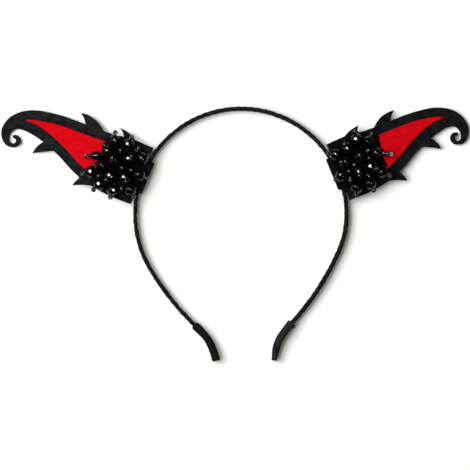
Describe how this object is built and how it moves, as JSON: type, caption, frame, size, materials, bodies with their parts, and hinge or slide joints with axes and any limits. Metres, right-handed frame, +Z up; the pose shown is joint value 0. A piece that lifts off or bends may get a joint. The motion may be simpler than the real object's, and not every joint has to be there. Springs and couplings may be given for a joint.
{
  "type": "headband with curled felt ears",
  "caption": "Costume headband: a ribbon-wound band with barbed, curled black felt ears, each with a red felt inlay and a cluster of faceted black beads at its base.",
  "frame": {"origin": "on the surface the headband lies on, under the middle of its outline", "axes": "+X from the left ear's curl to the right ear's, +Y from the band's open ends to the top of its arch, +Z up from the surface"},
  "size_m": [0.2801, 0.1524, 0.016],
  "materials": {
    "ribbon": "satin ribbon, wound",
    "felt": "matte felt",
    "inlay": "matte felt",
    "bead": "polished, faceted"
  },
  "bodies": {
    "root": {"band": "ribbon", "sleeve_left": "ribbon", "sleeve_right": "ribbon", "ear_left": "felt", "ear_right": "felt", "inlay_left": "inlay", "inlay_right": "inlay", "bead_left_01": "bead", "bead_left_02": "bead", "bead_left_03": "bead", "bead_left_04": "bead", "bead_left_05": "bead", "bead_left_06": "bead", "bead_left_07": "bead", "bead_left_08": "bead", "bead_left_09": "bead", "bead_left_10": "bead", "bead_left_11": "bead", "bead_left_12": "bead", "bead_left_13": "bead", "bead_left_14": "bead", "bead_left_15": "bead", "bead_left_16": "bead", "bead_left_17": "bead", "bead_left_18": "bead", "bead_left_19": "bead", "bead_left_20": "bead", "bead_left_21": "bead", "bead_right_01": "bead", "bead_right_02": "bead", "bead_right_03": "bead", "bead_right_04": "bead", "bead_right_05": "bead", "bead_right_06": "bead", "bead_right_07": "bead", "bead_right_08": "bead", "bead_right_09": "bead", "bead_right_10": "bead", "bead_right_11": "bead", "bead_right_12": "bead", "bead_right_13": "bead", "bead_right_14": "bead", "bead_right_15": "bead", "bead_right_16": "bead", "bead_right_17": "bead", "bead_right_18": "bead", "bead_right_19": "bead"}
  },
  "joints": []
}
